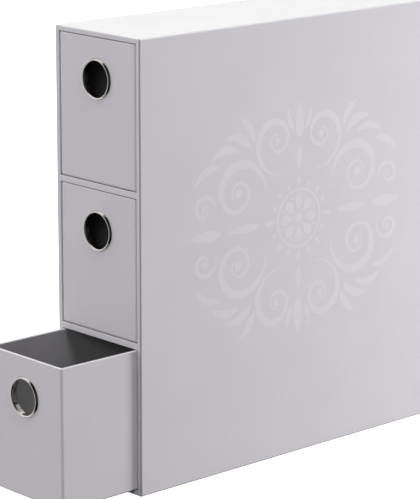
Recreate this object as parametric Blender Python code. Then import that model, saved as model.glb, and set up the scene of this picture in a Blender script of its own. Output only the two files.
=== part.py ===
"""Card drawer box: a greyboard casing wrapped in satin paper, with three drawers that pull out.

The origin is the middle of the casing's underside. +X is to the right seen from the front, -Y is
out of the drawer fronts and +Z is up. The bottom drawer stands pulled out, the others are shut.
"""

import math

import bmesh
import bpy

MM = 0.001

# Casing
CASING_WIDTH = 87.0 * MM
CASING_DEPTH = 300.0 * MM
CASING_BOARD = 3.8 * MM
SHELF_BOARD = 4.3 * MM
COMPARTMENT_HEIGHT = 99.8 * MM
CASING_CORNER_RADIUS = 1.5 * MM
CASING_RIM_RADIUS = 0.9 * MM
CASING_INNER_RIM_RADIUS = 0.4 * MM
SHELF_RIM_RADIUS = 0.5 * MM

# Drawers, from the bottom up
DRAWER_NAMES = ("bottom_drawer", "middle_drawer", "top_drawer")
DRAWER_BOARD = 2.2 * MM
DRAWER_FLOOR_BOARD = 2.2 * MM
DRAWER_SIDE_CLEARANCE = 0.8 * MM
DRAWER_TOP_CLEARANCE = 0.45 * MM
DRAWER_CORNER_RADIUS = 1.9 * MM
DRAWER_FOOT_RADIUS = 1.3 * MM
DRAWER_RIM_RADIUS = 0.6 * MM
BOTTOM_DRAWER_PULLED_OUT = 65.5 * MM

# Lining: the dark card tray inside each drawer
LINING_SHEET = 0.3 * MM
LINING_DROP = 0.6 * MM

# Eyelet: the metal rim of each finger hole, and the washer that its barrel is clinched over
EYELET_BORE_RADIUS = 12.3 * MM
EYELET_RIM_WIDTH = 2.1 * MM
EYELET_RISE = 1.6 * MM
EYELET_SHEET = 0.4 * MM
EYELET_DROP = 27.9 * MM
CLINCH_BEND = 0.4 * MM
CLINCH_FLANGE = 0.9 * MM
WASHER_WIDTH = 2.2 * MM
WASHER_SHEET = 0.4 * MM
WASHER_CHAMFER = 0.2 * MM

# Fits: the line of glue between two boards, and the play under and behind a drawer
GLUE_LINE = 0.3 * MM
REST_GAP = 0.3 * MM

# A hole's cutter runs past each face of its board by this much
CUTTER_OVERRUN = 1.0 * MM

# Steps round the curved forms, and the angle up to which a surface is shaded smooth
CORNER_STEPS = 3
ROUNDING_STEPS = 3
HOLE_STEPS = 32
EYELET_STEPS = 40
DOME_STEPS = 8
BEND_STEPS = 3
SMOOTH_ANGLE = math.radians(40)

# Sizes that follow from those above
SHELF_COUNT = len(DRAWER_NAMES) - 1
CASING_HEIGHT = 2 * CASING_BOARD + len(DRAWER_NAMES) * COMPARTMENT_HEIGHT + SHELF_COUNT * SHELF_BOARD
COMPARTMENT_HALF_WIDTH = CASING_WIDTH / 2 - CASING_BOARD
COMPARTMENT_PITCH = COMPARTMENT_HEIGHT + SHELF_BOARD
CASING_FRONT = -CASING_DEPTH / 2
COMPARTMENT_BACK = CASING_DEPTH / 2 - CASING_BOARD
DRAWER_WIDTH = 2 * (COMPARTMENT_HALF_WIDTH - DRAWER_SIDE_CLEARANCE)
DRAWER_LENGTH = COMPARTMENT_BACK - REST_GAP - CASING_FRONT
DRAWER_HEIGHT = COMPARTMENT_HEIGHT - REST_GAP - DRAWER_TOP_CLEARANCE
EYELET_HEIGHT = DRAWER_HEIGHT - EYELET_DROP
BARREL_RADIUS = EYELET_BORE_RADIUS + EYELET_SHEET
BARREL_HOLE_RADIUS = BARREL_RADIUS + GLUE_LINE
WASHER_RADIUS = BARREL_HOLE_RADIUS + WASHER_WIDTH
LINING_FACE = DRAWER_BOARD + GLUE_LINE + LINING_SHEET
WASHER_FACE = LINING_FACE + GLUE_LINE
CLINCH_FACE = WASHER_FACE + WASHER_SHEET + GLUE_LINE

# Colour, roughness and metallic value of each finish
FINISHES = {
    "satin_paper": ((0.52, 0.51, 0.54), 0.45, 0.0),
    "dark_card": ((0.075, 0.072, 0.075), 0.80, 0.0),
    "nickel": ((0.66, 0.65, 0.62), 0.18, 1.0),
}


def clear_scene():
    for old in list(bpy.data.objects):
        bpy.data.objects.remove(old, do_unlink=True)


def material_for(piece_name, finish_name):
    """A material of the piece's own, so that one piece can be recoloured by itself."""
    colour, roughness, metallic = FINISHES[finish_name]
    material = bpy.data.materials.new(f"{piece_name}_{finish_name}")
    material.use_nodes = True
    shader = material.node_tree.nodes["Principled BSDF"]
    shader.inputs["Base Color"].default_value = (*colour, 1)
    shader.inputs["Roughness"].default_value = roughness
    shader.inputs["Metallic"].default_value = metallic
    return material


def pivot(name, location):
    """An empty that carries the pieces of one body."""
    empty = bpy.data.objects.new(name, None)
    empty.location = location
    bpy.context.scene.collection.objects.link(empty)
    return empty


def place(name, bm, parent, location=(0, 0, 0), turn=(0, 0, 0)):
    """Makes a finished bmesh into a named object, shaded smooth over its roundings."""
    mesh = bpy.data.meshes.new(name)
    bmesh.ops.recalc_face_normals(bm, faces=bm.faces)
    bm.to_mesh(mesh)
    bm.free()
    mesh.shade_smooth()
    mesh.set_sharp_from_angle(angle=SMOOTH_ANGLE)
    piece = bpy.data.objects.new(name, mesh)
    piece.parent = parent
    piece.location = location
    piece.rotation_euler = turn
    bpy.context.scene.collection.objects.link(piece)
    return piece


def place_finished(name, bm, finish_name, parent, location=(0, 0, 0), turn=(0, 0, 0), cutter=None):
    """Places a piece in its own material. A cutter, if there is one, takes its hole out of it."""
    piece = place(name, bm, parent, location, turn)
    piece.data.materials.append(material_for(name, finish_name))
    if cutter:
        hole = piece.modifiers.new("finger_hole", "BOOLEAN")
        hole.operation = "DIFFERENCE"
        hole.object = cutter
    shading = piece.modifiers.new("flat_face_shading", "WEIGHTED_NORMAL")
    shading.keep_sharp = True


def round_edges(bm, edges, radius):
    bmesh.ops.bevel(
        bm,
        geom=edges,
        offset=radius,
        offset_type="OFFSET",
        segments=ROUNDING_STEPS,
        profile=0.5,
        affect="EDGES",
    )


def prism(outline, start, end):
    """Draws an outline in X and Z out along Y. Returns the mesh and the outline's points at each end."""
    bm = bmesh.new()
    near = [bm.verts.new((x, start, z)) for x, z in outline]
    drawn = bmesh.ops.extrude_face_region(bm, geom=[bm.faces.new(near)])
    moved = [item for item in drawn["geom"] if isinstance(item, bmesh.types.BMVert)]
    bmesh.ops.translate(bm, vec=(0, end - start, 0), verts=moved)
    moved = set(moved)
    far = []
    for vert in near:
        neighbours = [edge.other_vert(vert) for edge in vert.link_edges]
        far.extend(other for other in neighbours if other in moved)
    return bm, near, far


def mitred_outline(length, board, corner_radius):
    """Section of a board with both ends cut at 45 degrees, outer face at z = 0, inner face at -board.

    Each outer corner is rounded as far as the mitre, and the board ends half a glue line short of
    it. Returns the outline and how many of its points, from the first, lie along the outer face.
    """
    setback = GLUE_LINE / math.sqrt(2)
    level = math.radians(90)
    mitre = math.radians(45) + math.asin(setback / (corner_radius * math.sqrt(2)))
    right_corner = []
    for step in range(CORNER_STEPS + 1):
        angle = level + (mitre - level) * step / CORNER_STEPS
        x = length / 2 + corner_radius * (math.cos(angle) - 1)
        z = corner_radius * (math.sin(angle) - 1)
        right_corner.append((x, z))
    left_corner = [(-x, z) for x, z in reversed(right_corner)]
    inner_end = length / 2 - setback - board
    outline = left_corner + right_corner + [(inner_end, -board), (-inner_end, -board)]
    return outline, 2 * len(right_corner)


def mitred_board(length, board, corner_radius, start, end, start_radii, end_radii):
    """A mitred board. At each of its ends its outer and its inner rim is rounded; 0 leaves it sharp."""
    outline, outer_count = mitred_outline(length, board, corner_radius)
    bm, near, far = prism(outline, start, end)
    rims = []
    for ring, (outer_radius, inner_radius) in ((near, start_radii), (far, end_radii)):
        outer = ring[:outer_count]
        inner = ring[outer_count:]
        rims.append(([bm.edges.get(pair) for pair in zip(outer, outer[1:])], outer_radius))
        rims.append(([bm.edges.get(pair) for pair in zip(inner, inner[1:])], inner_radius))
    for edges, radius in rims:
        if radius:
            round_edges(bm, edges, radius)
    return bm


def slab(low, high):
    """A square-edged board between two opposite corners."""
    bm = bmesh.new()
    bmesh.ops.create_cube(bm, size=1)
    for vert in bm.verts:
        vert.co = [a if share < 0 else b for share, a, b in zip(vert.co, low, high)]
    return bm


def shelf(low, high, front_radius):
    """A board whose two front edges are rounded."""
    bm = slab(low, high)
    front = [edge for edge in bm.edges if all(vert.co.y < 0 for vert in edge.verts)]
    across = [edge for edge in front if edge.verts[0].co.x * edge.verts[1].co.x < 0]
    round_edges(bm, across, front_radius)
    return bm


def tray(low, high, sheet):
    """A box of thin sheet, open at the top: the top face is inset by the sheet and pushed down."""
    bm = slab(low, high)
    top = max(bm.faces, key=lambda face: face.calc_center_median().z)
    bmesh.ops.inset_region(bm, faces=[top], thickness=sheet)
    sunk = bmesh.ops.extrude_face_region(bm, geom=[top])
    floor = [item for item in sunk["geom"] if isinstance(item, bmesh.types.BMVert)]
    bmesh.ops.translate(bm, vec=(0, 0, low[2] + sheet - high[2]), verts=floor)
    bmesh.ops.delete(bm, geom=[top], context="FACES_ONLY")
    return bm


def turned(profile):
    """Turns a closed profile of (radius, height) points about Z."""
    bm = bmesh.new()
    verts = [bm.verts.new((radius, 0, height)) for radius, height in profile]
    edges = [bm.edges.new(pair) for pair in zip(verts, verts[1:] + verts[:1])]
    bmesh.ops.spin(
        bm,
        geom=verts + edges,
        cent=(0, 0, 0),
        axis=(0, 0, 1),
        angle=math.tau,
        steps=EYELET_STEPS,
        use_merge=True,
    )
    return bm


def arc(centre, half_width, half_height, start_degrees, end_degrees, steps):
    """Points along part of an ellipse, both ends included."""
    points = []
    for step in range(steps + 1):
        angle = math.radians(start_degrees + (end_degrees - start_degrees) * step / steps)
        points.append((centre[0] + half_width * math.cos(angle), centre[1] + half_height * math.sin(angle)))
    return points


def eyelet_profile():
    """Section of the eyelet, one sheet thick all the way. Height 0 is the drawer's front face.

    It runs over the domed rim to the bore, down the barrel, out round the clinched foot behind the
    washer, and back along the underside of the same sheet.
    """
    dome_half_width = EYELET_RIM_WIDTH / 2
    dome = (EYELET_BORE_RADIUS + dome_half_width, GLUE_LINE)
    dome_rise = EYELET_RISE - GLUE_LINE
    bend = (BARREL_RADIUS + CLINCH_BEND, CLINCH_BEND - CLINCH_FACE)
    flange_end = bend[0] + CLINCH_FLANGE
    outer_bend = CLINCH_BEND + EYELET_SHEET
    profile = arc(dome, dome_half_width, dome_rise, 0, 180, DOME_STEPS)
    profile += arc(bend, outer_bend, outer_bend, 180, 270, BEND_STEPS)
    profile += [(flange_end, -CLINCH_FACE - EYELET_SHEET), (flange_end, -CLINCH_FACE)]
    profile += arc(bend, CLINCH_BEND, CLINCH_BEND, 270, 180, BEND_STEPS)
    profile += arc(dome, dome_half_width - EYELET_SHEET, dome_rise - EYELET_SHEET, 180, 0, DOME_STEPS)
    return profile


def washer_profile():
    """Section of the washer, its back edges chamfered. Height 0 is the drawer's front face."""
    back = -WASHER_FACE - WASHER_SHEET
    return [
        (BARREL_HOLE_RADIUS, -WASHER_FACE),
        (BARREL_HOLE_RADIUS, back),
        (WASHER_RADIUS - WASHER_CHAMFER, back),
        (WASHER_RADIUS, back + WASHER_CHAMFER),
        (WASHER_RADIUS, -WASHER_FACE),
    ]


def finger_hole_cutter(slide):
    """The round hole that runs through a drawer's front board and through the lining behind it."""
    depth = LINING_FACE + 2 * CUTTER_OVERRUN
    bm = bmesh.new()
    bmesh.ops.create_cone(
        bm,
        cap_ends=True,
        segments=HOLE_STEPS,
        radius1=BARREL_HOLE_RADIUS,
        radius2=BARREL_HOLE_RADIUS,
        depth=depth,
    )
    middle = (0, depth / 2 - CUTTER_OVERRUN, EYELET_HEIGHT)
    cutter = place(f"{slide.name}_hole_cutter", bm, slide, middle, (math.radians(90), 0, 0))
    cutter.hide_render = True
    cutter.display_type = "WIRE"
    return cutter


def build_casing():
    """Four boards mitred into a tube, two shelves across it and a board let into its back."""
    casing = pivot("casing", (0, 0, 0))
    half_width = CASING_WIDTH / 2
    half_height = CASING_HEIGHT / 2
    tube = (
        ("casing_top_board", CASING_WIDTH, (0, 0, CASING_HEIGHT), 0),
        ("casing_right_board", CASING_HEIGHT, (half_width, 0, half_height), 90),
        ("casing_bottom_board", CASING_WIDTH, (0, 0, 0), 180),
        ("casing_left_board", CASING_HEIGHT, (-half_width, 0, half_height), 270),
    )
    for name, length, location, turn in tube:
        board = mitred_board(
            length,
            CASING_BOARD,
            CASING_CORNER_RADIUS,
            CASING_FRONT,
            -CASING_FRONT,
            (CASING_RIM_RADIUS, CASING_INNER_RIM_RADIUS),
            (CASING_RIM_RADIUS, 0),
        )
        place_finished(name, board, "satin_paper", casing, location, (0, math.radians(turn), 0))

    side = COMPARTMENT_HALF_WIDTH - GLUE_LINE
    for index, name in enumerate(("lower_shelf_board", "upper_shelf_board")):
        floor = CASING_BOARD + index * COMPARTMENT_PITCH + COMPARTMENT_HEIGHT
        low = (-side, CASING_FRONT, floor)
        high = (side, COMPARTMENT_BACK - GLUE_LINE, floor + SHELF_BOARD)
        place_finished(name, shelf(low, high, SHELF_RIM_RADIUS), "satin_paper", casing)

    low = (-side, COMPARTMENT_BACK, CASING_BOARD + GLUE_LINE)
    high = (side, CASING_DEPTH / 2, CASING_HEIGHT - CASING_BOARD - GLUE_LINE)
    place_finished("casing_back_board", slab(low, high), "satin_paper", casing)


def build_drawer(name, level, pulled_out):
    """A drawer whose front face stands pulled_out in front of the casing, on the compartment level."""
    floor = CASING_BOARD + level * COMPARTMENT_PITCH + REST_GAP
    slide = pivot(name, (0, CASING_FRONT - pulled_out, floor))
    half_width = DRAWER_WIDTH / 2
    half_length = DRAWER_LENGTH / 2
    walls = (
        ("front", DRAWER_WIDTH, (0, 0, 0), 0),
        ("right", DRAWER_LENGTH, (half_width, half_length, 0), 90),
        ("back", DRAWER_WIDTH, (0, DRAWER_LENGTH, 0), 180),
        ("left", DRAWER_LENGTH, (-half_width, half_length, 0), 270),
    )
    cutter = finger_hole_cutter(slide)
    for side, length, location, turn in walls:
        board = mitred_board(
            length,
            DRAWER_BOARD,
            DRAWER_CORNER_RADIUS,
            0,
            DRAWER_HEIGHT,
            (DRAWER_FOOT_RADIUS, 0),
            (DRAWER_RIM_RADIUS, DRAWER_RIM_RADIUS),
        )
        upright = (math.radians(90), 0, math.radians(turn))
        hole = cutter if side == "front" else None
        place_finished(f"{name}_{side}_board", board, "satin_paper", slide, location, upright, hole)

    inset = DRAWER_BOARD + GLUE_LINE
    low = (inset - half_width, inset, 0)
    high = (half_width - inset, DRAWER_LENGTH - inset, DRAWER_FLOOR_BOARD)
    place_finished(f"{name}_floor_board", slab(low, high), "satin_paper", slide)

    low = (inset - half_width, inset, DRAWER_FLOOR_BOARD + GLUE_LINE)
    high = (half_width - inset, DRAWER_LENGTH - inset, DRAWER_HEIGHT - LINING_DROP)
    place_finished(f"{name}_lining", tray(low, high, LINING_SHEET), "dark_card", slide, cutter=cutter)

    centre = (0, 0, EYELET_HEIGHT)
    forward = (math.radians(90), 0, 0)
    place_finished(f"{name}_eyelet", turned(eyelet_profile()), "nickel", slide, centre, forward)
    place_finished(f"{name}_eyelet_washer", turned(washer_profile()), "nickel", slide, centre, forward)


def main():
    clear_scene()
    build_casing()
    for level, name in enumerate(DRAWER_NAMES):
        build_drawer(name, level, BOTTOM_DRAWER_PULLED_OUT if level == 0 else 0)


main()
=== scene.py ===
import math

import bmesh
import bpy
from mathutils import Matrix, Vector


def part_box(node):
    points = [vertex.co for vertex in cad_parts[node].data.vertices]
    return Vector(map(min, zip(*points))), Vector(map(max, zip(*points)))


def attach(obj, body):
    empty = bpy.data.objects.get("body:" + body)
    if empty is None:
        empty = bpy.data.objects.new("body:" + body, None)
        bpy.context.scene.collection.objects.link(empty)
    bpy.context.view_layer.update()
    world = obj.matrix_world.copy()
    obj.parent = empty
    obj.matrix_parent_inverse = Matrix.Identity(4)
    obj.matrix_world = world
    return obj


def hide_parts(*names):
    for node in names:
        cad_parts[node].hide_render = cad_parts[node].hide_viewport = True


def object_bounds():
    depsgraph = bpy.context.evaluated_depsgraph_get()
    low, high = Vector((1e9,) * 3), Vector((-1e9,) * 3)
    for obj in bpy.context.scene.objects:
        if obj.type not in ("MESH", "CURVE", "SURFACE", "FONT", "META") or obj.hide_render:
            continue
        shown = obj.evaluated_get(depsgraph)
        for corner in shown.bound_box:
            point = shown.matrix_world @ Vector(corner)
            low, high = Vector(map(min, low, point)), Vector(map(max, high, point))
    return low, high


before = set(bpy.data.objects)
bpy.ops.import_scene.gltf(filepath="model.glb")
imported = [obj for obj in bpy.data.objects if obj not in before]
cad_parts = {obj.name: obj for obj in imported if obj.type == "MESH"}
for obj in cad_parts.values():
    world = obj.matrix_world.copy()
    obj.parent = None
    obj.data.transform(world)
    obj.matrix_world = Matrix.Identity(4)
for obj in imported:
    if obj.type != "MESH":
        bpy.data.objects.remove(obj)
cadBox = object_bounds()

# Looks of a card drawer box: carcass and drawers wrapped in satin paper, dark card linings,
# nickel finger rims, and an ornament of varnish on the right side
mm = 0.001
drawerNames = ("bottom_drawer", "middle_drawer", "top_drawer")


# Camera, fitted to the corners of the casing and of the open drawer
camera = {
    "place": (1268.8 * mm, -1217.7 * mm, 572.1 * mm),
    "azimuth": 47.298,  # degrees round to the right of the drawer fronts
    "elevation": 13.757,
    "roll": 0.122,
    "focalPixels": 2512.54,
    "frameHeight": 499,  # pixels, the long side of the picture
    "sensor": 36.0,
    "nearest": 0.05,
    "farthest": 60.0,
}


def makeCamera():
    azimuth = math.radians(camera["azimuth"])
    elevation = math.radians(camera["elevation"])
    roll = math.radians(camera["roll"])
    level = math.cos(elevation)
    back = Vector((math.sin(azimuth) * level, -math.cos(azimuth) * level, math.sin(elevation)))
    right = Vector((math.cos(azimuth), math.sin(azimuth), 0))
    up = back.cross(right)
    acrossPicture = right * math.cos(roll) + up * math.sin(roll)
    upPicture = up * math.cos(roll) - right * math.sin(roll)
    lensData = bpy.data.cameras.new("photo_camera")
    lensData.sensor_width = camera["sensor"]
    lensData.lens = camera["focalPixels"] * camera["sensor"] / camera["frameHeight"]
    lensData.clip_start = camera["nearest"]
    lensData.clip_end = camera["farthest"]
    photoCamera = bpy.data.objects.new("photo_camera", lensData)
    axes = Matrix((acrossPicture, upPicture, back)).transposed()
    photoCamera.matrix_world = Matrix.Translation(camera["place"]) @ axes.to_4x4()
    bpy.context.scene.collection.objects.link(photoCamera)
    bpy.context.scene.camera = photoCamera


makeCamera()
print("camera placed")


# A finish is a node material, with helpers that lay noise over its colour, roughness and relief
class Finish:
    def __init__(self, name):
        self.material = bpy.data.materials.new(name)
        self.material.use_nodes = True
        self.tree = self.material.node_tree
        self.shader = self.tree.nodes["Principled BSDF"]
        self.place = self.node("ShaderNodeTexCoord").outputs["Object"]

    def node(self, kind, **settings):
        made = self.tree.nodes.new(kind)
        for key, value in settings.items():
            setattr(made, key, value)
        return made

    def feed(self, value, socket):
        if isinstance(value, bpy.types.NodeSocket):
            self.tree.links.new(value, socket)
        else:
            socket.default_value = value

    def paint(self, quality, value):
        self.feed(value, self.shader.inputs[quality])

    def noise(self, size, detail, roughness=0.5, stretch=(1, 1, 1)):
        # noise whose grains are about size across, longer where stretch is more than 1
        mapping = self.node("ShaderNodeMapping")
        mapping.inputs["Scale"].default_value = tuple(1 / s for s in stretch)
        self.feed(self.place, mapping.inputs["Vector"])
        grain = self.node("ShaderNodeTexNoise")
        grain.inputs["Scale"].default_value = 1 / size
        grain.inputs["Detail"].default_value = detail
        grain.inputs["Roughness"].default_value = roughness
        self.feed(mapping.outputs["Vector"], grain.inputs["Vector"])
        return grain.outputs["Fac"]

    def spread(self, value, low, high, fromLow=0.3, fromHigh=0.7):
        # stretches a value to run from low to high; most of a noise lies from 0.3 to 0.7
        ranged = self.node("ShaderNodeMapRange")
        ranged.inputs["From Min"].default_value = fromLow
        ranged.inputs["From Max"].default_value = fromHigh
        ranged.inputs["To Min"].default_value = low
        ranged.inputs["To Max"].default_value = high
        self.feed(value, ranged.inputs["Value"])
        return ranged.outputs["Result"]

    def maths(self, operation, first, second):
        worked = self.node("ShaderNodeMath", operation=operation)
        self.feed(first, worked.inputs[0])
        self.feed(second, worked.inputs[1])
        return worked.outputs["Value"]

    def shade(self, colour, amount):
        # colour made lighter or darker by a value round 1
        tint = self.node("ShaderNodeVectorMath", operation="SCALE")
        self.feed(colour, tint.inputs[0])
        self.feed(amount, tint.inputs["Scale"])
        return tint.outputs["Vector"]

    def relief(self, height, depth, under=None):
        bump = self.node("ShaderNodeBump")
        bump.inputs["Strength"].default_value = 1.0
        bump.inputs["Distance"].default_value = depth
        self.feed(height, bump.inputs["Height"])
        if under:
            self.feed(under, bump.inputs["Normal"])
        return bump.outputs["Normal"]


# In each finish a noise is (size, detail, roughness, stretch), the last two only where they aren't plain,
# and Shares are how far it darkens and lightens the colour
paper = {
    "colour": (0.600, 0.579, 0.618),
    "roughness": (0.52, 0.62),
    "specular": 0.35,
    "mottle": (45 * mm, 3),
    "mottleShares": (0.985, 1.015),
    "fibre": (0.55 * mm, 3, 0.6, (1, 2.2, 1)),
    "fibreShares": (0.975, 1.020),
    "fibreDepth": 0.010 * mm,
    "boardWave": (60 * mm, 1),
    "boardWaveDepth": 0.05 * mm,
    # painted shade darkens the casing's upright front edges, which lie beyond these places across and in
    # depth
    "cornerShade": (42.2 * mm, -149.0 * mm),
    "cornerShadeWidth": (0.0, 0.35 * mm),
    "cornerShadeShares": (1.0, 0.62),
}


def makePaper():
    satin = Finish("satin_wrap_paper")
    mottle = satin.spread(satin.noise(*paper["mottle"]), *paper["mottleShares"])
    fibre = satin.noise(*paper["fibre"])
    tone = satin.maths("MULTIPLY", mottle, satin.spread(fibre, *paper["fibreShares"]))
    # painted shade: the paper is darkened along the casing's upright front edges
    cornerShadeAcross, cornerShadeAhead = paper["cornerShade"]
    axes = satin.node("ShaderNodeSeparateXYZ")
    satin.feed(satin.place, axes.inputs["Vector"])
    across = satin.maths("SUBTRACT", satin.maths("ABSOLUTE", axes.outputs["X"], 0), cornerShadeAcross)
    ahead = satin.maths("SUBTRACT", cornerShadeAhead, axes.outputs["Y"])
    cornerShade = satin.spread(satin.maths("MINIMUM", across, ahead), *paper["cornerShadeShares"], *paper["cornerShadeWidth"])
    tone = satin.maths("MULTIPLY", tone, cornerShade)
    satin.paint("Base Color", satin.shade(paper["colour"], tone))
    satin.paint("Roughness", satin.spread(fibre, *paper["roughness"]))
    wave = satin.relief(satin.noise(*paper["boardWave"]), paper["boardWaveDepth"])
    satin.paint("Normal", satin.relief(fibre, paper["fibreDepth"], wave))
    satin.paint("Specular IOR Level", paper["specular"])
    return satin.material


# Varnish lets the paper's fibre show through its smooth coat
varnish = {
    # its colour, lighter than the paper's, is painted sheen standing in for the coat's reflection of the
    # bright surroundings
    "colour": (0.683, 0.659, 0.694),
    "coatWeight": 1.0,
    "coatRoughness": 0.10,
    "ripple": (6 * mm, 2),
    "rippleDepth": 0.012 * mm,
}


def makeVarnish():
    gloss = Finish("spot_varnish")
    fibre = gloss.noise(*paper["fibre"])
    tone = gloss.spread(fibre, *paper["fibreShares"])
    gloss.paint("Base Color", gloss.shade(varnish["colour"], tone))
    gloss.paint("Roughness", gloss.spread(fibre, *paper["roughness"]))
    gloss.paint("Coat Weight", varnish["coatWeight"])
    gloss.paint("Coat Roughness", varnish["coatRoughness"])
    gloss.paint("Coat Normal", gloss.relief(gloss.noise(*varnish["ripple"]), varnish["rippleDepth"]))
    return gloss.material


card = {
    "colour": (0.260, 0.251, 0.262),
    "roughness": (0.62, 0.80),
    "fleck": (0.35 * mm, 4, 0.7),
    "fleckShares": (0.80, 1.22),
    "mottle": (25 * mm, 2),
    "mottleShares": (0.95, 1.05),
    "tooth": (0.30 * mm, 3),
    "toothDepth": 0.03 * mm,
}


def makeCard():
    dark = Finish("dark_lining_card")
    fleck = dark.noise(*card["fleck"])
    mottle = dark.spread(dark.noise(*card["mottle"]), *card["mottleShares"])
    tone = dark.maths("MULTIPLY", mottle, dark.spread(fleck, *card["fleckShares"]))
    dark.paint("Base Color", dark.shade(card["colour"], tone))
    dark.paint("Roughness", dark.spread(fleck, *card["roughness"]))
    dark.paint("Normal", dark.relief(dark.noise(*card["tooth"]), card["toothDepth"]))
    return dark.material


nickel = {
    "colour": (0.74, 0.72, 0.68),
    "roughness": (0.10, 0.20),
    "smear": (3 * mm, 2),
    "smearShares": (0.96, 1.03),
    "scratch": (0.12 * mm, 2, 0.6, (1, 30, 1)),
    "scratchDepth": 0.002 * mm,
}


def makeNickel():
    metal = Finish("nickel_plate")
    smear = metal.noise(*nickel["smear"])
    scratch = metal.noise(*nickel["scratch"])
    metal.paint("Base Color", metal.shade(nickel["colour"], metal.spread(smear, *nickel["smearShares"])))
    metal.paint("Roughness", metal.spread(smear, *nickel["roughness"]))
    metal.paint("Normal", metal.relief(scratch, nickel["scratchDepth"]))
    metal.paint("Metallic", 1.0)
    return metal.material


wrapPaper = makePaper()
spotVarnish = makeVarnish()
liningCard = makeCard()
nickelPlate = makeNickel()
print("finishes mixed")


meshing = {
    "weld": 0.0005 * mm,  # points closer than this become one
    "smoothAngle": 35,  # degrees between faces, up to which they look as one surface
    "roundSteps": 5,
    "drillSteps": 96,
}


def steadyTurn(start, end, steps):
    # even steps from start to end, both in degrees, as radians
    return [math.radians(start + (end - start) * step / steps) for step in range(steps + 1)]


def arc(across, level, radius, start, end):
    turns = steadyTurn(start, end, meshing["roundSteps"])
    return [(across + radius * math.cos(turn), level + radius * math.sin(turn)) for turn in turns]


def skinBetween(bm, near, far):
    for i in range(len(near)):
        bm.faces.new((near[i - 1], near[i], far[i], far[i - 1]))


def meshObject(name, bm, smoothAngle=meshing["smoothAngle"]):
    bmesh.ops.remove_doubles(bm, verts=bm.verts, dist=meshing["weld"])
    bmesh.ops.recalc_face_normals(bm, faces=bm.faces)
    mesh = bpy.data.meshes.new(name)
    bm.to_mesh(mesh)
    bm.free()
    mesh.shade_smooth()
    mesh.set_sharp_from_angle(angle=math.radians(smoothAngle))
    made = bpy.data.objects.new(name, mesh)
    bpy.context.scene.collection.objects.link(made)
    return made


def dress(piece, material, body, slot, *nodes):
    piece.data.materials.clear()
    piece.data.materials.append(material)
    flatFaces = piece.modifiers.new("flat_faces", "WEIGHTED_NORMAL")
    flatFaces.keep_sharp = True
    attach(piece, body)
    if nodes:
        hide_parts(*nodes)


# Box-shaped pieces are lofted from loops, each at an inset from the box's outer faces and at a level.
# mitre, from 0 to 1, opens the fine joint where the folded paper meets at each corner of a rim.
joint = {
    "halfWidth": 0.13 * mm,
    "depth": 0.16 * mm,
    # mitre over a rim's outer rounding, and over its inner one, each from the wall to the rim's crest
    "outerShares": (0, 0.1, 0.3, 0.55, 0.8, 1),
    "innerShares": (0, 0.2, 0.4, 0.6, 0.8, 1),
}


def boxLoop(box, inset, level, mitre):
    halfA = box["halfA"] - inset
    halfB = box["halfB"] - inset
    radius = max(box["cornerRadius"] - inset, 0)
    steps = box["cornerSteps"]
    points = []
    for quarter, (sideA, sideB) in enumerate(((1, 1), (-1, 1), (-1, -1), (1, -1))):
        turn = math.radians(90 * quarter)
        for step in range(steps + 1):
            share = step / steps
            angle = turn + math.radians(90) * share
            # at the joint a corner's two ends draw apart and its middle sinks
            before = max(1 - 2 * share, 0) * mitre * joint["halfWidth"]
            after = max(2 * share - 1, 0) * mitre * joint["halfWidth"]
            sunk = (1 - abs(2 * share - 1)) * mitre * joint["depth"]
            a = sideA * (halfA - radius) + radius * math.cos(angle)
            b = sideB * (halfB - radius) + radius * math.sin(angle)
            a = a + math.sin(turn) * before - math.cos(turn) * after
            b = b - math.cos(turn) * before - math.sin(turn) * after
            points.append(box["put"](a, b, level - box["rimSide"] * sunk))
    return points


def mitred(line, shares):
    return [(inset, level, share) for (inset, level), share in zip(line, shares)]


def unmitred(line):
    return [(inset, level, 0) for inset, level in line]


def loft(name, box, profile):
    # profile: (inset, level, mitre) from one closed end of the piece to the other
    bm = bmesh.new()
    loops = [[bm.verts.new(point) for point in boxLoop(box, *entry)] for entry in profile]
    for near, far in zip(loops, loops[1:]):
        skinBetween(bm, near, far)
    bm.faces.new(loops[0])
    bm.faces.new(loops[-1])
    return meshObject(name, bm)


def drillHole(piece, centre, radius, depth):
    # a round hole along Y through whatever of the piece lies within depth of the centre
    bm = bmesh.new()
    turned = Matrix.Translation(centre) @ Matrix.Rotation(math.radians(90), 4, "X")
    bmesh.ops.create_cone(bm, cap_ends=True, segments=meshing["drillSteps"], radius1=radius,
                          radius2=radius, depth=2 * depth, matrix=turned)
    drill = meshObject("drill", bm)
    cut = piece.modifiers.new("hole", "BOOLEAN")
    cut.operation = "DIFFERENCE"
    cut.object = drill
    depsgraph = bpy.context.evaluated_depsgraph_get()
    drilled = bpy.data.meshes.new_from_object(piece.evaluated_get(depsgraph))
    piece.modifiers.remove(cut)
    piece.data = drilled
    drilled.set_sharp_from_angle(angle=math.radians(meshing["smoothAngle"]))
    bpy.data.objects.remove(drill)


# Carcass: the four mitred boards and the back, under one skin of paper that is turned in over the front rim
carcass = {
    "cornerRadius": 1.5 * mm,
    "cornerSteps": 8,
    "rimRadius": 0.9 * mm,
    "innerRimRadius": 0.4 * mm,
    "turnIn": 15.0 * mm,
    "paperSheet": 0.12 * mm,
    "varnishFilm": 0.04 * mm,  # room left for the ornament inside the casing's width
    "backSheetMargin": 2.0 * mm,
    "backSheetCorner": 0.6 * mm,
    # insets and depths of its edge as shares of a sheet, the outer face last
    "backSheetEdgeShares": ((0, 1.5), (0, 0.4), (0.3, 0)),
}


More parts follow.
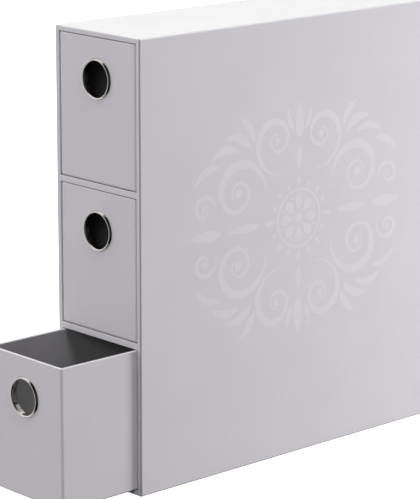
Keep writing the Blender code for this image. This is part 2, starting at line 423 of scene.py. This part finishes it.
def makeCarcass():
    low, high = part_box("casing_right_board")
    middle = cadBox[1].z / 2
    sheet = carcass["paperSheet"]
    film = carcass["varnishFilm"]
    box = {
        "halfA": high.x - film,
        "halfB": middle,
        "cornerRadius": carcass["cornerRadius"],
        "cornerSteps": carcass["cornerSteps"],
        "put": lambda a, b, level: Vector((a, level, middle + b)),
        "rimSide": -1,  # levels fall towards the rim
    }
    front = low.y
    back = high.y - sheet
    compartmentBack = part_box("casing_back_board")[0].y
    wall = high.x - low.x - film
    rim = carcass["rimRadius"]
    innerRim = carcass["innerRimRadius"]
    turnedIn = front + carcass["turnIn"]
    profile = [(wall - sheet, compartmentBack, 0), (wall - sheet, turnedIn, 0), (wall, turnedIn, 0)]
    profile += mitred(arc(wall - innerRim, front + innerRim, innerRim, 0, -90), joint["innerShares"])
    profile += mitred(arc(rim, front + rim, rim, -90, -180), reversed(joint["outerShares"]))
    profile += unmitred(arc(rim, back - rim, rim, 180, 90))
    boards = [f"casing_{side}_board" for side in ("top", "right", "bottom", "left", "back")]
    dress(loft("casing_wrap", box, profile), wrapPaper, "casing", "wrap", *boards)
    return box


def makeBackSheet(box):
    # the end sheet that covers the turned-in edges at the back, a margin smaller all round
    margin = carcass["backSheetMargin"]
    sheet = carcass["paperSheet"]
    rear = cadBox[1].y
    sheetBox = dict(box, halfA=box["halfA"] - margin, halfB=box["halfB"] - margin)
    sheetBox["cornerRadius"] = carcass["backSheetCorner"]
    edge = [(inset * sheet, rear - depth * sheet) for inset, depth in carcass["backSheetEdgeShares"]]
    profile = unmitred(edge)
    dress(loft("casing_back_sheet", sheetBox, profile), wrapPaper, "casing", "wrap")


shelves = {"names": ("lower_shelf", "upper_shelf"), "rimRadius": 0.5 * mm}


def makeShelf(name):
    # section in Y and Z drawn out across the casing, its ends let into the side walls
    low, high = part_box(f"{name}_board")
    wallLow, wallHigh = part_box("casing_right_board")
    halfWidth = cadBox[1].x - (wallHigh.x - wallLow.x) + carcass["innerRimRadius"]
    radius = shelves["rimRadius"]
    section = arc(low.y + radius, low.z + radius, radius, 270, 180)
    section += arc(low.y + radius, high.z - radius, radius, 180, 90)
    section += [(high.y, high.z), (high.y, low.z)]
    bm = bmesh.new()
    left = [bm.verts.new((-halfWidth, y, z)) for y, z in section]
    right = [bm.verts.new((halfWidth, y, z)) for y, z in section]
    skinBetween(bm, left, right)
    bm.faces.new(left)
    bm.faces.new(right)
    dress(meshObject(f"{name}_wrap", bm), wrapPaper, "casing", "wrap", f"{name}_board")


makeBackSheet(makeCarcass())
for shelfName in shelves["names"]:
    makeShelf(shelfName)
print("carcass wrapped")


# Side ornament: a scrolled medallion of varnish on the right side. Places are in millimetres from its
# middle, along the side and up it. No shape touches its neighbour.
ornament = {
    "middle": (-2 * mm, 173 * mm),
    "hold": 0.01 * mm,  # how far the film reaches into the paper
    "beadSteps": 32,
    "ring": {"radius": 20.6, "width": 1.8, "steps": 120},
    "rosette": {
        "heart": 3.6,
        "petals": 8,
        "petal": (5.4, 17.4, 7.4),  # root, tip, width
        "fullestShare": 0.62,  # of a petal's length, where it is widest
        "bead": (16.0, 1.2),  # distance, radius
    },
    "halo": {
        "rays": 16,
        "root": 23.0,
        "tips": (33.0, 27.5, 29.0, 27.5, 30.5, 27.5, 29.0, 27.5),
        "width": 3.6,
        "fullestShare": 0.55,
    },
    "leaf": {"steps": 18, "fullestShare": 0.45, "bluntness": 0.8, "thinnest": 0.12},
    # signs along and up of the mirror images: 4 in all four quarters, 2 to either side, 1 above and below
    "images": {
        4: ((1, 1), (-1, 1), (1, -1), (-1, -1)),
        2: ((1, 1), (-1, 1)),
        1: ((1, 1), (1, -1)),
    },
    # images, eye, radii, turns in degrees, widths at shares of the length, bead at the eye, steps
    "scrolls": (
        (4, (58.5, 25.5), (28.5, 5.2), (214, -406), ((0, 0.3), (0.2, 6.6), (0.5, 3.0), (1, 1.4)), 3.3, 110),
        (4, (21.5, 58.0), (26.5, 4.2), (-118, 452), ((0, 0.3), (0.25, 5.6), (0.55, 2.6), (1, 1.2)), 2.7, 100),
        (4, (91.0, 19.0), (13.0, 2.8), (232, -288), ((0, 0.3), (0.3, 3.6), (1, 1.0)), 1.8, 70),
    ),
    # images, root, tip, width, bend
    "leaves": (
        (2, (74.0, 0.0), (103.5, 0.0), 8.0, 0.0),
        (2, (38.0, 0.0), (68.0, 0.0), 6.0, 0.0),
        (1, (0.0, 57.0), (0.0, 83.0), 8.6, 0.0),
        (1, (0.0, 35.0), (0.0, 53.0), 5.6, 0.0),
        (4, (4.9, 63.5), (11.0, 80.0), 4.2, -0.12),
        (4, (46.0, 55.0), (71.0, 65.0), 6.5, 0.16),
        (4, (43.0, 60.0), (57.0, 78.0), 6.0, 0.10),
        (4, (58.0, 55.0), (84.0, 52.0), 6.0, 0.16),
        (4, (76.0, 47.0), (99.0, 36.0), 5.4, 0.14),
    ),
}


def easedWidth(share, widths):
    for (shareBefore, before), (shareAfter, after) in zip(widths, widths[1:]):
        if share <= shareAfter:
            part = (share - shareBefore) / (shareAfter - shareBefore)
            return before + (after - before) * part * part * (3 - 2 * part)


def scrollLine(eye, radii, turns, widths, steps):
    # a narrowing spiral as points of (along, up, width)
    line = []
    for step in range(steps + 1):
        share = step / steps
        turn = math.radians(turns[0] + (turns[1] - turns[0]) * share)
        radius = radii[0] * (radii[1] / radii[0]) ** share
        width = easedWidth(share, widths)
        line.append((eye[0] + radius * math.cos(turn), eye[1] + radius * math.sin(turn), width))
    return line


def leafLine(root, tip, width, bend, fullest):
    # a leaf as points of (along, up, width), bowed to one side by bend times its length
    leaf = ornament["leaf"]
    along = tip[0] - root[0]
    up = tip[1] - root[1]
    line = []
    for step in range(leaf["steps"] + 1):
        share = step / leaf["steps"]
        side = bend * 4 * share * (1 - share)
        swell = math.sin(math.pi * share ** (math.log(0.5) / math.log(fullest)))
        here = max(width * max(swell, 0) ** leaf["bluntness"], leaf["thinnest"])
        line.append((root[0] + along * share - up * side, root[1] + up * share + along * side, here))
    return line


def filmPoint(along, up, level):
    middleY, middleZ = ornament["middle"]
    return (level, middleY + along * mm, middleZ + up * mm)


def layOutline(bm, outlines, closed, levels):
    # skins a film between pairs of (left, right) points, from the lower to the upper level
    low, high = levels
    sections = []
    for left, right in outlines:
        corners = ((left, high), (right, high), (right, low), (left, low))
        sections.append([bm.verts.new(filmPoint(*point, level)) for point, level in corners])
    pairs = list(zip(sections, sections[1:]))
    if closed:
        pairs.append((sections[-1], sections[0]))
    else:
        bm.faces.new(sections[0])
        bm.faces.new(sections[-1])
    for near, far in pairs:
        skinBetween(bm, near, far)


def layLine(bm, line, image, levels):
    outlines = []
    for i, (along, up, width) in enumerate(line):
        before = line[max(i - 1, 0)]
        after = line[min(i + 1, len(line) - 1)]
        run = math.hypot(after[0] - before[0], after[1] - before[1])
        aside = (before[1] - after[1]) / run * width / 2
        above = (after[0] - before[0]) / run * width / 2
        sides = ((along + aside, up + above), (along - aside, up - above))
        outlines.append([(a * image[0], u * image[1]) for a, u in sides])
    layOutline(bm, outlines, False, levels)


def layBead(bm, centre, radius, levels):
    steps = ornament["beadSteps"]
    turns = [math.tau * step / steps for step in range(steps)]
    outline = [(centre[0] + radius * math.cos(turn), centre[1] + radius * math.sin(turn)) for turn in turns]
    rims = [[bm.verts.new(filmPoint(*point, level)) for point in outline] for level in levels]
    skinBetween(bm, *rims)
    for rim in rims:
        bm.faces.new(rim)


def layRing(bm, radius, width, steps, levels):
    edges = (radius - width / 2, radius + width / 2)
    outlines = []
    for step in range(steps):
        turn = math.tau * step / steps
        outlines.append([(edge * math.cos(turn), edge * math.sin(turn)) for edge in edges])
    layOutline(bm, outlines, True, levels)


def onTurn(radius, degrees):
    return (radius * math.cos(math.radians(degrees)), radius * math.sin(math.radians(degrees)))


def layRosette(bm, levels):
    rosette = ornament["rosette"]
    root, tip, width = rosette["petal"]
    beadPlace, beadRadius = rosette["bead"]
    spacing = 360 / rosette["petals"]
    layBead(bm, (0, 0), rosette["heart"], levels)
    for petal in range(rosette["petals"]):
        turn = spacing * petal
        line = leafLine(onTurn(root, turn), onTurn(tip, turn), width, 0, rosette["fullestShare"])
        layLine(bm, line, (1, 1), levels)
        layBead(bm, onTurn(beadPlace, turn + spacing / 2), beadRadius, levels)


def layHalo(bm, levels):
    halo = ornament["halo"]
    for ray in range(halo["rays"]):
        turn = 360 / halo["rays"] * ray
        root = onTurn(halo["root"], turn)
        tip = onTurn(halo["tips"][ray % len(halo["tips"])], turn)
        line = leafLine(root, tip, halo["width"], 0, halo["fullestShare"])
        layLine(bm, line, (1, 1), levels)


def makeOrnament():
    face = cadBox[1].x
    levels = (face - carcass["varnishFilm"] - ornament["hold"], face)
    ring = ornament["ring"]
    bm = bmesh.new()
    layRosette(bm, levels)
    layRing(bm, ring["radius"], ring["width"], ring["steps"], levels)
    layHalo(bm, levels)
    for images, eye, radii, turns, widths, bead, steps in ornament["scrolls"]:
        for image in ornament["images"][images]:
            layLine(bm, scrollLine(eye, radii, turns, widths, steps), image, levels)
            layBead(bm, (eye[0] * image[0], eye[1] * image[1]), bead, levels)
    for images, root, tip, width, bend in ornament["leaves"]:
        line = leafLine(root, tip, width, bend, ornament["leaf"]["fullestShare"])
        for image in ornament["images"][images]:
            layLine(bm, line, image, levels)
    dress(meshObject("right_side_ornament", bm), spotVarnish, "casing", "wrap")


makeOrnament()
print("ornament printed")


# Drawers: a wrapped tray, its card lining, and the two rings of its finger hole
drawer = {
    "cornerRadius": 1.9 * mm,
    "cornerSteps": 8,
    "footRadius": 1.8 * mm,
    "rimRadius": 0.6 * mm,
    "drillPast": 2 * mm,  # how far behind the front board the drill reaches
}


def drawerBox(name):
    frontLow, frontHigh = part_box(f"{name}_front_board")
    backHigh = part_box(f"{name}_back_board")[1]
    middle = (frontLow.y + backHigh.y) / 2
    return {
        "halfA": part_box(f"{name}_right_board")[1].x,
        "halfB": (backHigh.y - frontLow.y) / 2,
        "cornerRadius": drawer["cornerRadius"],
        "cornerSteps": drawer["cornerSteps"],
        "put": lambda a, b, level: Vector((a, middle + b, level)),
        "rimSide": 1,  # levels rise towards the rim
        "front": frontLow.y,
        "foot": frontLow.z,
        "top": frontHigh.z,
        "board": frontHigh.y - frontLow.y,
        "floor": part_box(f"{name}_floor_board")[1].z,
    }


def makeDrawerWrap(name, box, hole):
    foot = drawer["footRadius"]
    rim = drawer["rimRadius"]
    top = box["top"]
    board = box["board"]
    profile = unmitred(arc(foot, box["foot"] + foot, foot, 270, 180))
    profile += mitred(arc(rim, top - rim, rim, 180, 90), joint["outerShares"])
    profile += mitred(arc(board - rim, top - rim, rim, 90, 0), reversed(joint["innerShares"]))
    profile += [(board, box["floor"], 0)]
    wrap = loft(f"{name}_wrap", box, profile)
    drillHole(wrap, hole["centre"], hole["barrel"], board + drawer["drillPast"])
    boards = [f"{name}_{side}_board" for side in ("front", "right", "back", "left", "floor")]
    dress(wrap, wrapPaper, name, "wrap", *boards)


lining = {
    "sheet": 0.32 * mm,
    "drop": 0.6 * mm,  # of its edge below the drawer's rim
    "cornerRadius": 0.7 * mm,
    "bendRadius": 0.6 * mm,
    "chamferShare": 0.25,  # of the sheet, cut off each side of its upper edge
    "skin": 0.02 * mm,  # air between the lining and the boards
    "drillPast": 4 * mm,  # likewise, behind the front board
}


def makeLining(name, box, hole):
    sheet = lining["sheet"]
    bend = lining["bendRadius"]
    inset = box["board"] + lining["skin"]
    floor = box["floor"] + lining["skin"]
    top = box["top"] - lining["drop"]
    chamfer = sheet * lining["chamferShare"]
    tray = dict(box, halfA=box["halfA"] - inset, halfB=box["halfB"] - inset)
    tray["cornerRadius"] = lining["cornerRadius"]
    profile = [(0, floor, 0), (0, top - chamfer, 0), (chamfer, top, 0)]
    profile += [(sheet - chamfer, top, 0), (sheet, top - chamfer, 0)]
    profile += unmitred(arc(sheet + bend, floor + sheet + bend, bend, 180, 270))
    folded = loft(f"{name}_card_lining", tray, profile)
    drillHole(folded, hole["centre"], hole["barrel"], box["board"] + lining["drillPast"])
    dress(folded, liningCard, name, "lining", f"{name}_lining")


rings = {
    "steps": 128,
    "bore": 12.3 * mm,
    "rimWidth": 2.1 * mm,
    "crest": 1.20 * mm,  # from the bore
    "rise": 1.6 * mm,
    "fullness": (0.80, 1.75),  # of the rim's inner and outer slope: 1 is an ellipse, 2 a straight slope
    "domeSteps": 28,
    "sheet": 0.34 * mm,
    "barrelPlay": 0.02 * mm,
    "curl": 0.50 * mm,
    "curlTurn": 110,  # degrees
    "curlSteps": 10,
    "washerWidth": 2.2 * mm,
    "washerSheet": 0.38 * mm,
    "washerEdgeShare": 0.45,  # radius of its rounded edge as a share of its sheet
    "washerEdgeSteps": 5,
    "smoothAngle": 60,
}


def lathe(name, profile, centre):
    # turns a closed profile of (radius, height in front of the drawer's face) about the hole's axis
    bm = bmesh.new()
    loops = []
    for step in range(rings["steps"]):
        turn = math.tau * step / rings["steps"]
        across = math.cos(turn)
        up = math.sin(turn)
        points = [(centre.x + radius * across, centre.y - height, centre.z + radius * up)
                  for radius, height in profile]
        loops.append([bm.verts.new(point) for point in points])
    for step in range(rings["steps"]):
        skinBetween(bm, loops[step - 1], loops[step])
    return meshObject(name, bm, rings["smoothAngle"])


def domeLine(inset, turns):
    # the domed section of a rim, or that of the inside of its sheet, as points of (radius, height)
    crest = rings["bore"] + rings["crest"]
    slopes = (rings["crest"] - inset, rings["rimWidth"] - rings["crest"] - inset)
    rise = rings["rise"] - inset
    line = []
    for turn in turns:
        side = 1 if math.cos(turn) > 0 else 0
        full = rings["fullness"][side]
        across = math.copysign(abs(math.cos(turn)) ** full, math.cos(turn))
        line.append((crest + slopes[side] * across, rise * abs(math.sin(turn)) ** full))
    return line


def makeRim(name, hole):
    # domed rim, barrel and the curl that grips the washer behind
    sheet = rings["sheet"]
    curl = rings["curl"]
    curlTurn = rings["curlTurn"]
    curlAt = rings["bore"] + sheet + curl
    curlLevel = -hole["stack"] - rings["washerSheet"] + curl
    profile = domeLine(0, steadyTurn(0, 180, rings["domeSteps"]))
    for radius, start, end in ((curl + sheet, 0, curlTurn), (curl, curlTurn, 0)):
        for turn in steadyTurn(start, end, rings["curlSteps"]):
            profile.append((curlAt - radius * math.cos(turn), curlLevel - radius * math.sin(turn)))
    profile += domeLine(sheet, steadyTurn(180, 0, rings["domeSteps"]))
    rim = lathe(f"{name}_finger_rim", profile, hole["centre"])
    dress(rim, nickelPlate, name, "rim_metal", f"{name}_eyelet")


def makeWasher(name, hole):
    inside = hole["barrel"]
    outside = inside + rings["washerWidth"]
    face = -hole["stack"]
    thick = rings["washerSheet"]
    edge = thick * rings["washerEdgeShare"]
    profile = [(inside, face), (inside, face - thick)]
    for turn in steadyTurn(0, 90, rings["washerEdgeSteps"]):
        across = outside - edge + edge * math.sin(turn)
        height = face - thick + edge - edge * math.cos(turn)
        profile.append((across, height))
    profile.append((outside, face))
    washer = lathe(f"{name}_clinch_washer", profile, hole["centre"])
    dress(washer, nickelPlate, name, "rim_metal", f"{name}_eyelet_washer")


def makeDrawer(name):
    box = drawerBox(name)
    eyeletLow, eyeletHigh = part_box(f"{name}_eyelet")
    hole = {
        "centre": Vector((0, box["front"], (eyeletLow.z + eyeletHigh.z) / 2)),
        "barrel": rings["bore"] + rings["sheet"] + rings["barrelPlay"],
        "stack": box["board"] + lining["skin"] + lining["sheet"],  # what the eyelet holds together
    }
    makeDrawerWrap(name, box, hole)
    makeLining(name, box, hole)
    makeRim(name, hole)
    makeWasher(name, hole)


for drawerName in drawerNames:
    makeDrawer(drawerName)
    print(drawerName, "dressed")


# Studio: a pale floor that glows, a large lamp overhead, low lamps at the front left and the rear right,
# smaller high lamps at the right and in front, and air that is bright at the left and dark at the right
studio = {
    "floorSize": 60.0,
    "floorColour": (0.80, 0.80, 0.80),
    "floorMottle": (500 * mm, 2),
    "floorShares": (0.995, 1.005),
    "floorRoughness": 0.9,
    "floorSpecular": 0.1,
    "floorGlow": 1.1,
    # the dark card under the box, across and in depth, and how far it lies below the floor's face
    "shade": ((-0.045, 0.045), (-0.216, 0.152)),
    "shadeDrop": 0.2 * mm,
    "shadeColour": (0.02, 0.02, 0.02),
    "shadeMottle": (20 * mm, 2),
    "shadeShares": (0.95, 1.05),
    "darkSide": (0.968, -0.25, 0.0),  # to the right, where the studio is left unlit
    # brightness of the air below and above the horizon, from the lit side (0) round to the dark side (1):
    # the two ends first, then the points between them
    "lowAir": (
        (0.0, 1.0), (1.0, 0.03), (0.10, 0.98), (0.24, 0.62), (0.42, 0.52), (0.55, 0.35), (0.66, 0.05),
    ),
    "highAir": ((0.0, 0.96), (1.0, 0.04), (0.30, 0.94), (0.46, 0.74), (0.58, 0.08)),
    "horizon": (-0.02, 0.12),
    "lampColour": (1, 1, 1),
    "lights": {
        "overhead": {
            "place": (-0.2, 0.3, 2.4), "aim": (0, 0, 0.1), "size": (2.2, 2.2), "watts": 45.0,
            "colour": (0.98, 1.036, 0.926),
        },
        "frontLeft": {
            "place": (-1.9, -2.05, 0.34), "aim": (0, -0.1, 0.2), "size": (1.8, 0.62), "watts": 16.5,
        },
        "rearRight": {
            "place": (0.75, 0.85, 0.115), "aim": (0.04, 0.10, 0.07), "size": (0.7, 0.21), "watts": 12.2,
        },
        "highRight": {
            "place": (1.5, -0.55, 1.75), "aim": (0, -0.1, 0.1), "size": (0.7, 0.7), "watts": 16.5,
        },
        "highFront": {
            "place": (1.0, -1.75, 0.95), "aim": (0, -0.15, 0.1), "size": (0.9, 0.6), "watts": 12.0,
        },
    },
}


def levelSquare(name, size):
    bm = bmesh.new()
    bmesh.ops.create_grid(bm, x_segments=1, y_segments=1, size=size / 2)
    return meshObject(name, bm)


def makeFloor():
    floor = levelSquare("studio_floor", studio["floorSize"])
    floor.location.z = cadBox[0].z
    pale = Finish("studio_floor_paint")
    tone = pale.spread(pale.noise(*studio["floorMottle"]), *studio["floorShares"])
    pale.paint("Base Color", pale.shade(studio["floorColour"], tone))
    pale.paint("Roughness", studio["floorRoughness"])
    pale.paint("Specular IOR Level", studio["floorSpecular"])
    pale.paint("Emission Color", (1, 1, 1, 1))
    pale.paint("Emission Strength", studio["floorGlow"])
    floor.data.materials.append(pale.material)
    floor.visible_diffuse = False  # its bounce would fill in the shading of the upright faces
    floor.visible_glossy = False


def makeShade():
    # a dark card under the box, out of the camera's sight, for the dark where little light gets in
    shade = levelSquare("studio_shade", 1)
    (left, right), (front, back) = studio["shade"]
    shade.location = ((left + right) / 2, (front + back) / 2, cadBox[0].z - studio["shadeDrop"])
    shade.scale = (right - left, back - front, 1)
    black = Finish("studio_shade_card")
    tone = black.spread(black.noise(*studio["shadeMottle"]), *studio["shadeShares"])
    black.paint("Base Color", black.shade(studio["shadeColour"], tone))
    shade.data.materials.append(black.material)
    shade.visible_camera = False
    shade.visible_glossy = False


def makeLight(name, setting):
    lampData = bpy.data.lights.new(name, "AREA")
    lampData.shape = "RECTANGLE"
    lampData.size, lampData.size_y = setting["size"]
    lampData.energy = setting["watts"]
    lampData.color = setting.get("colour", studio["lampColour"])
    lamp = bpy.data.objects.new(name, lampData)
    lamp.location = setting["place"]
    beam = Vector(setting["aim"]) - Vector(setting["place"])
    lamp.rotation_euler = beam.to_track_quat("-Z", "Y").to_euler()
    lamp.visible_camera = False
    lamp.visible_glossy = False  # the metal mirrors the soft air alone
    bpy.context.scene.collection.objects.link(lamp)


def makeWorld():
    world = bpy.data.worlds.new("studio_air")
    world.use_nodes = True
    nodes = world.node_tree.nodes
    links = world.node_tree.links
    outward = nodes.new("ShaderNodeTexCoord").outputs["Generated"]
    toDark = nodes.new("ShaderNodeVectorMath")
    toDark.operation = "DOT_PRODUCT"
    toDark.inputs[1].default_value = studio["darkSide"]
    links.new(outward, toDark.inputs[0])
    unit = nodes.new("ShaderNodeMapRange")
    unit.inputs["From Min"].default_value = -1  # brings -1 to 1 down to 0 to 1
    links.new(toDark.outputs["Value"], unit.inputs["Value"])
    height = nodes.new("ShaderNodeSeparateXYZ")
    links.new(outward, height.inputs["Vector"])
    rise = nodes.new("ShaderNodeMapRange")
    rise.interpolation_type = "SMOOTHSTEP"
    rise.inputs["From Min"].default_value, rise.inputs["From Max"].default_value = studio["horizon"]
    links.new(height.outputs["Z"], rise.inputs["Value"])
    air = nodes.new("ShaderNodeMix")
    links.new(rise.outputs["Result"], air.inputs["Factor"])
    for part, end in (("lowAir", "A"), ("highAir", "B")):
        brightness = nodes.new("ShaderNodeFloatCurve")
        curve = brightness.mapping.curves[0]
        for point, place in zip(curve.points, studio[part]):
            point.location = place
        for place in studio[part][2:]:
            curve.points.new(*place)
        brightness.mapping.update()
        links.new(unit.outputs["Result"], brightness.inputs["Value"])
        links.new(brightness.outputs["Value"], air.inputs[end])
    links.new(air.outputs["Result"], nodes["Background"].inputs["Strength"])
    nodes["Background"].inputs["Color"].default_value = (1, 1, 1, 1)
    bpy.context.scene.world = world


makeFloor()
makeShade()
for lightName, lightSetting in studio["lights"].items():
    makeLight(lightName, lightSetting)
makeWorld()
bpy.context.scene.view_settings.view_transform = "Standard"
bpy.context.scene.view_settings.look = "None"
print("studio lit")

bpy.context.view_layer.update()
